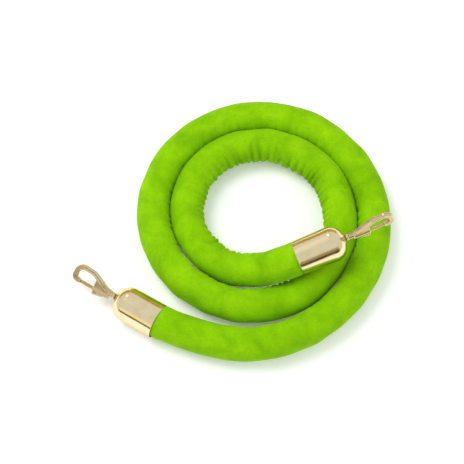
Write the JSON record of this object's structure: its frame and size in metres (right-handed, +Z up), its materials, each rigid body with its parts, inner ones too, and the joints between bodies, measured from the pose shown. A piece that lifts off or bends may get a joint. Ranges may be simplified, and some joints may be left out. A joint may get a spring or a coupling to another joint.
{
  "type": "velvet barrier rope",
  "caption": "Padded velvet rope lying in a loose coil, with a round brass cap and a swivelling spring bolt snap at each end, for hanging between barrier posts.",
  "frame": {"origin": "middle of the footprint, on the floor that the coil lies on", "axes": "+Z up, +X along the longest extent, towards the inner hook; +Y away from the side where the outer cap lies"},
  "size_m": [0.3611, 0.3268, 0.0944],
  "materials": {
    "velvet": "lime green short-pile velvet, soft sheen",
    "foam": "white closed-cell foam",
    "cord": "twisted cotton cord",
    "brass": "polished pale brass plate",
    "brass_dark": "turned brass",
    "nylon": "natural nylon",
    "steel": "zinc-plated steel",
    "spring_steel": "spring steel wire"
  },
  "bodies": {
    "rope": {"velvet_cover": "velvet", "foam_core": "foam", "core_cord": "cord", "end_cap_1": "brass", "end_plug_1": "nylon", "cord_ferrule_1": "steel", "neck_bush_1": "brass_dark", "end_cap_2": "brass", "end_plug_2": "nylon", "cord_ferrule_2": "steel", "neck_bush_2": "brass_dark"},
    "hook_1": {"hook_body_1": "brass", "swivel_shank_1": "steel", "retaining_washer_1": "steel", "lock_nut_1": "steel", "neck_collar_1": "brass", "bolt_spring_1": "spring_steel"},
    "bolt_1": {"gate_bolt_1": "brass_dark", "thumb_knob_1": "brass"},
    "hook_2": {"hook_body_2": "brass", "swivel_shank_2": "steel", "retaining_washer_2": "steel", "lock_nut_2": "steel", "neck_collar_2": "brass", "bolt_spring_2": "spring_steel"},
    "bolt_2": {"gate_bolt_2": "brass_dark", "thumb_knob_2": "brass"}
  },
  "joints": [
    {"name": "hook_swivel_1", "type": "hinge", "parent": "rope", "child": "hook_1", "pos_m": [-0.13127, -0.08801, 0.02], "axis": [-0.8544, 0.5197, 0], "continuous": true},
    {"name": "bolt_slide_1", "type": "slide", "parent": "hook_1", "child": "bolt_1", "axis": [0.8544, -0.5197, 0], "range_m": [0, 0.0095], "stiffness_N_per_m": 150, "springref_m": -0.006, "deforming": ["bolt_spring_1"]},
    {"name": "hook_swivel_2", "type": "hinge", "parent": "rope", "child": "hook_2", "pos_m": [0.12372, -0.03737, 0.06648], "axis": [0.9139, 0.2991, 0.2743], "continuous": true},
    {"name": "bolt_slide_2", "type": "slide", "parent": "hook_2", "child": "bolt_2", "axis": [-0.9139, -0.2991, -0.2743], "range_m": [0, 0.0095], "stiffness_N_per_m": 150, "springref_m": -0.006, "deforming": ["bolt_spring_2"]}
  ]
}
